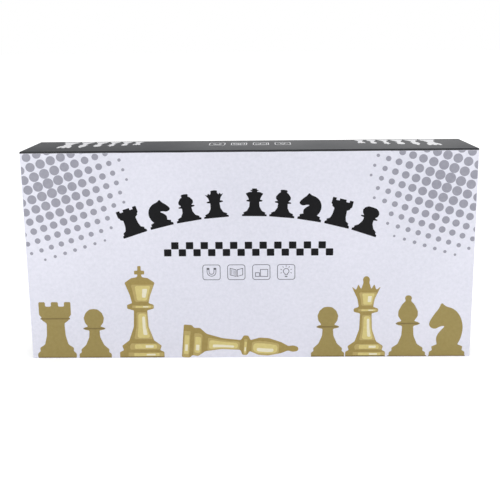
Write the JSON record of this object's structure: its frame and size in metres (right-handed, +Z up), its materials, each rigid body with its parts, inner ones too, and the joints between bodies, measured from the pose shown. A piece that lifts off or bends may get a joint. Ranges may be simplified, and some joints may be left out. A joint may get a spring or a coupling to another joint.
{
  "type": "magnetic chess set",
  "caption": "Folding magnetic wooden chess set with its men, packed on edge in a lift-off carton with a printed white front.",
  "frame": {"origin": "middle of the underside of the closed carton, standing on a long side", "axes": "+X along the carton to the right of its printed front, +Y from the printed front to the back, +Z up"},
  "size_m": [0.415, 0.0536, 0.2005],
  "materials": {
    "printed_lid_wrap": "satin",
    "base_wrap": "satin",
    "end_pad_foam": "matte",
    "walnut_panel": "satin",
    "walnut_rail": "satin",
    "maple_veneer": "satin",
    "walnut_veneer": "satin",
    "steel_sheet": "satin",
    "tray_foam": "matte",
    "magnet": "polished",
    "brass_leaf": "satin",
    "brass_fastener": "satin",
    "green_felt": "matte",
    "dark_men_wood": "satin",
    "light_men_wood": "satin"
  },
  "bodies": {
    "base": {"base_tray": "base_wrap", "end_pad_left": "end_pad_foam", "end_pad_right": "end_pad_foam"},
    "lid": {"lid_shell": "printed_lid_wrap"},
    "board_back": {"back_catch_magnets": "magnet", "back_dark_squares": "walnut_veneer", "back_foam_tray": "tray_foam", "back_hinge_leaves": "brass_leaf", "back_hinge_screws": "brass_fastener", "back_light_squares": "maple_veneer", "back_panel": "walnut_panel", "back_rails": "walnut_rail", "back_steel_sheet": "steel_sheet", "hinge_pins": "brass_fastener"},
    "board_front": {"front_catch_magnets": "magnet", "front_dark_squares": "walnut_veneer", "front_foam_tray": "tray_foam", "front_hinge_leaves": "brass_leaf", "front_hinge_screws": "brass_fastener", "front_light_squares": "maple_veneer", "front_panel": "walnut_panel", "front_rails": "walnut_rail", "front_steel_sheet": "steel_sheet"},
    "dark_pawns_body": {"dark_pawn_felts": "green_felt", "dark_pawn_magnets": "magnet", "dark_pawns": "dark_men_wood"},
    "dark_rooks_body": {"dark_rook_felts": "green_felt", "dark_rook_magnets": "magnet", "dark_rooks": "dark_men_wood"},
    "dark_knights_body": {"dark_knight_felts": "green_felt", "dark_knight_magnets": "magnet", "dark_knights": "dark_men_wood"},
    "dark_bishops_body": {"dark_bishop_felts": "green_felt", "dark_bishop_magnets": "magnet", "dark_bishops": "dark_men_wood"},
    "dark_queens_body": {"dark_queen_felts": "green_felt", "dark_queen_magnets": "magnet", "dark_queens": "dark_men_wood"},
    "dark_king_body": {"dark_king": "dark_men_wood", "dark_king_felt": "green_felt", "dark_king_magnet": "magnet"},
    "light_pawns_body": {"light_pawn_felts": "green_felt", "light_pawn_magnets": "magnet", "light_pawns": "light_men_wood"},
    "light_rooks_body": {"light_rook_felts": "green_felt", "light_rook_magnets": "magnet", "light_rooks": "light_men_wood"},
    "light_knights_body": {"light_knight_felts": "green_felt", "light_knight_magnets": "magnet", "light_knights": "light_men_wood"},
    "light_bishops_body": {"light_bishop_felts": "green_felt", "light_bishop_magnets": "magnet", "light_bishops": "light_men_wood"},
    "light_queens_body": {"light_queen_felts": "green_felt", "light_queen_magnets": "magnet", "light_queens": "light_men_wood"},
    "light_king_body": {"light_king": "light_men_wood", "light_king_felt": "green_felt", "light_king_magnet": "magnet"}
  },
  "joints": [
    {"name": "lid_lift", "type": "slide", "parent": "base", "child": "lid", "axis": [0, -1, 0], "range_m": [0, 0.8]},
    {"name": "board_lift", "type": "slide", "parent": "base", "child": "board_back", "axis": [0, -1, 0], "range_m": [0, 0.072]},
    {"name": "board_unfold", "type": "hinge", "parent": "board_back", "child": "board_front", "pos_m": [0, 0.00095, 0.19385], "axis": [-1, 0, 0], "range_deg": [0, 180]},
    {"name": "dark_pawns_lift", "type": "slide", "parent": "board_back", "child": "dark_pawns_body", "axis": [0, -1, 0], "range_m": [0, 0.04]},
    {"name": "dark_rooks_lift", "type": "slide", "parent": "board_back", "child": "dark_rooks_body", "axis": [0, -1, 0], "range_m": [0, 0.04]},
    {"name": "dark_knights_lift", "type": "slide", "parent": "board_back", "child": "dark_knights_body", "axis": [0, -1, 0], "range_m": [0, 0.04]},
    {"name": "dark_bishops_lift", "type": "slide", "parent": "board_back", "child": "dark_bishops_body", "axis": [0, -1, 0], "range_m": [0, 0.04]},
    {"name": "dark_queens_lift", "type": "slide", "parent": "board_back", "child": "dark_queens_body", "axis": [0, -1, 0], "range_m": [0, 0.04]},
    {"name": "dark_king_lift", "type": "slide", "parent": "board_back", "child": "dark_king_body", "axis": [0, -1, 0], "range_m": [0, 0.04]},
    {"name": "light_pawns_lift", "type": "slide", "parent": "board_front", "child": "light_pawns_body", "axis": [0, 1, 0], "range_m": [0, 0.04]},
    {"name": "light_rooks_lift", "type": "slide", "parent": "board_front", "child": "light_rooks_body", "axis": [0, 1, 0], "range_m": [0, 0.04]},
    {"name": "light_knights_lift", "type": "slide", "parent": "board_front", "child": "light_knights_body", "axis": [0, 1, 0], "range_m": [0, 0.04]},
    {"name": "light_bishops_lift", "type": "slide", "parent": "board_front", "child": "light_bishops_body", "axis": [0, 1, 0], "range_m": [0, 0.04]},
    {"name": "light_queens_lift", "type": "slide", "parent": "board_front", "child": "light_queens_body", "axis": [0, 1, 0], "range_m": [0, 0.04]},
    {"name": "light_king_lift", "type": "slide", "parent": "board_front", "child": "light_king_body", "axis": [0, 1, 0], "range_m": [0, 0.04]}
  ],
  "couplings": [
    {"joint": "board_lift", "follows": "lid_lift", "ratio": 0.09},
    {"joint": "board_unfold", "follows": "lid_lift", "rad_per_m": 3.927},
    {"joint": "dark_pawns_lift", "follows": "lid_lift", "ratio": 0.05},
    {"joint": "dark_rooks_lift", "follows": "lid_lift", "ratio": 0.05},
    {"joint": "dark_knights_lift", "follows": "lid_lift", "ratio": 0.05},
    {"joint": "dark_bishops_lift", "follows": "lid_lift", "ratio": 0.05},
    {"joint": "dark_queens_lift", "follows": "lid_lift", "ratio": 0.05},
    {"joint": "dark_king_lift", "follows": "lid_lift", "ratio": 0.05},
    {"joint": "light_pawns_lift", "follows": "lid_lift", "ratio": 0.05},
    {"joint": "light_rooks_lift", "follows": "lid_lift", "ratio": 0.05},
    {"joint": "light_knights_lift", "follows": "lid_lift", "ratio": 0.05},
    {"joint": "light_bishops_lift", "follows": "lid_lift", "ratio": 0.05},
    {"joint": "light_queens_lift", "follows": "lid_lift", "ratio": 0.05},
    {"joint": "light_king_lift", "follows": "lid_lift", "ratio": 0.05}
  ]
}
